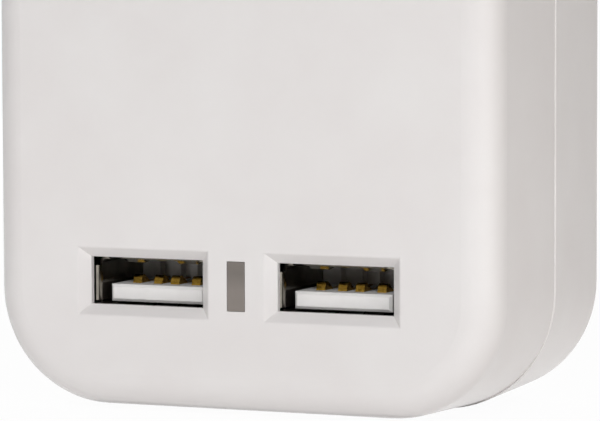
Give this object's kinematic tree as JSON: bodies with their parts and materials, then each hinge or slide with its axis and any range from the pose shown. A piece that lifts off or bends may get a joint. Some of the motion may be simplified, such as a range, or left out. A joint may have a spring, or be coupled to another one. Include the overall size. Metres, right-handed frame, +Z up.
{
  "type": "usb socket adapter",
  "caption": "Rounded white plug-in mains adapter: USB charging ports with bevelled surrounds and a small indicator window in the front, flat two-pin plug behind.",
  "frame": {"origin": "midway between the two mains pins, on the end face of the plug", "axes": "+Y along the pins, into the mains socket; -Y is the front with the ports; +Z up; +X to the right seen from the front"},
  "size_m": [0.0592, 0.0681, 0.0762],
  "materials": {
    "housing_plastic": "moulded, fine satin grain",
    "window_plastic": "moulded, smoke tinted",
    "shell_steel": "stamped and plated sheet",
    "tongue_plastic": "moulded",
    "contact_gold": "gold plated strip",
    "pin_nickel": "turned brass, nickel plated",
    "sleeve_plastic": "moulded",
    "strip_bronze": "stamped strip",
    "screw_steel": "zinc plated",
    "board_laminate": "solder resist",
    "light_resin": "moulded clear resin",
    "core_ferrite": "sintered ferrite, ground",
    "bobbin_plastic": "moulded",
    "winding_tape": "polyester tape",
    "lead_tin": "tinned wire",
    "can_sleeve": "shrunk sleeve",
    "part_epoxy": "moulded epoxy",
    "choke_sleeve": "shrunk sleeve over wire",
    "resistor_coat": "flameproof lacquer",
    "disc_coat": "dipped coating"
  },
  "bodies": {
    "root": {"front_cover": "housing_plastic", "rear_cover": "housing_plastic", "housing_screws": "screw_steel", "indicator_window": "window_plastic", "indicator_light": "light_resin", "circuit_board": "board_laminate", "transformer_core": "core_ferrite", "transformer_bobbin": "bobbin_plastic", "transformer_winding": "winding_tape", "transformer_pins": "lead_tin", "input_capacitors": "can_sleeve", "output_capacitors": "can_sleeve", "input_choke": "choke_sleeve", "fuse_resistor": "resistor_coat", "safety_capacitor": "disc_coat", "bridge_rectifier": "part_epoxy", "controller_chip": "part_epoxy", "optocoupler": "part_epoxy", "output_diode": "part_epoxy", "left_port_shell": "shell_steel", "left_port_insulator": "tongue_plastic", "left_port_contacts": "contact_gold", "right_port_shell": "shell_steel", "right_port_insulator": "tongue_plastic", "right_port_contacts": "contact_gold", "left_mains_pin": "pin_nickel", "left_pin_sleeve": "sleeve_plastic", "left_pin_contact": "strip_bronze", "right_mains_pin": "pin_nickel", "right_pin_sleeve": "sleeve_plastic", "right_pin_contact": "strip_bronze"}
  },
  "joints": []
}
